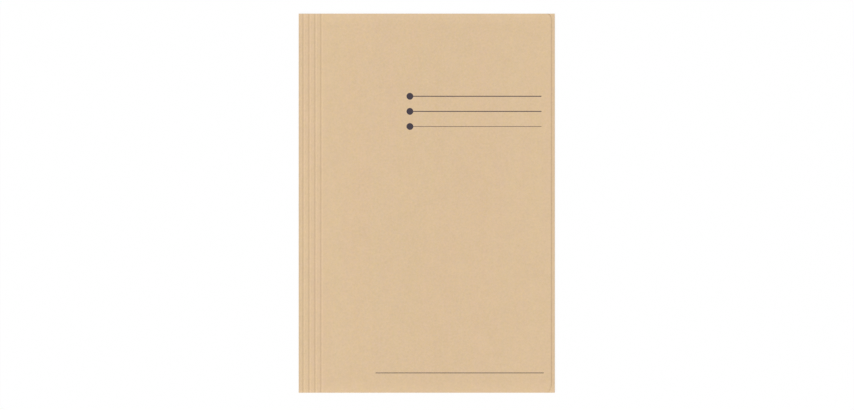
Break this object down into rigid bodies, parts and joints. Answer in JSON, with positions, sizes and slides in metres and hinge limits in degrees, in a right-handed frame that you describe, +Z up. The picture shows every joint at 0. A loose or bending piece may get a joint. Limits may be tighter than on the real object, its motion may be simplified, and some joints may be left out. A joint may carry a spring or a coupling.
{
  "type": "three-flap folder",
  "caption": "Manila card folder that closes over loose sheets with flaps at its top, bottom and fore edge, and a scored spine that opens.",
  "frame": {"origin": "on the table, under the middle of the closed folder", "axes": "+X from the spine to the fore edge, +Y to the top of the page, +Z up through the front cover"},
  "size_m": [0.2364, 0.35, 0.0025],
  "materials": {
    "manila_card": "matte"
  },
  "bodies": {
    "back": {"back_cover": "manila_card", "spine_fold": "manila_card", "top_fold": "manila_card", "bottom_fold": "manila_card", "side_fold": "manila_card"},
    "spine": {"spine_strip_1": "manila_card", "spine_strip_2": "manila_card", "spine_strip_3": "manila_card", "spine_strip_4": "manila_card"},
    "front_cover": {"front_cover": "manila_card"},
    "top_flap": {"top_gusset_1": "manila_card", "top_gusset_2": "manila_card", "top_gusset_3": "manila_card", "top_gusset_4": "manila_card", "top_flap": "manila_card"},
    "bottom_flap": {"bottom_gusset_1": "manila_card", "bottom_gusset_2": "manila_card", "bottom_gusset_3": "manila_card", "bottom_gusset_4": "manila_card", "bottom_flap": "manila_card"},
    "side_flap": {"side_gusset_1": "manila_card", "side_gusset_2": "manila_card", "side_gusset_3": "manila_card", "side_gusset_4": "manila_card", "side_flap": "manila_card"}
  },
  "joints": [
    {"name": "spine_open", "type": "hinge", "parent": "back", "child": "spine", "pos_m": [-0.11825, 0, 0.00125], "axis": [0, -1, 0], "range_deg": [0, 179], "deforming": ["spine_fold"]},
    {"name": "cover_close", "type": "hinge", "parent": "spine", "child": "front_cover", "pos_m": [-0.09725, 0, 0.00265], "axis": [0, 1, 0], "range_deg": [-179, 0]},
    {"name": "side_flap_open", "type": "hinge", "parent": "back", "child": "side_flap", "pos_m": [0.11825, 0, 0.0009], "axis": [0, 1, 0], "range_deg": [0, 179], "deforming": ["side_fold"]},
    {"name": "top_flap_open", "type": "hinge", "parent": "back", "child": "top_flap", "pos_m": [0, 0.175, 0.00055], "axis": [-1, 0, 0], "range_deg": [0, 179], "deforming": ["top_fold"]},
    {"name": "bottom_flap_open", "type": "hinge", "parent": "back", "child": "bottom_flap", "pos_m": [0, -0.175, 0.00055], "axis": [1, 0, 0], "range_deg": [0, 179], "deforming": ["bottom_fold"]}
  ],
  "couplings": [
    {"joint": "spine_open", "follows": "side_flap_open", "ratio": 1},
    {"joint": "top_flap_open", "follows": "side_flap_open", "ratio": 1},
    {"joint": "bottom_flap_open", "follows": "side_flap_open", "ratio": 1}
  ]
}
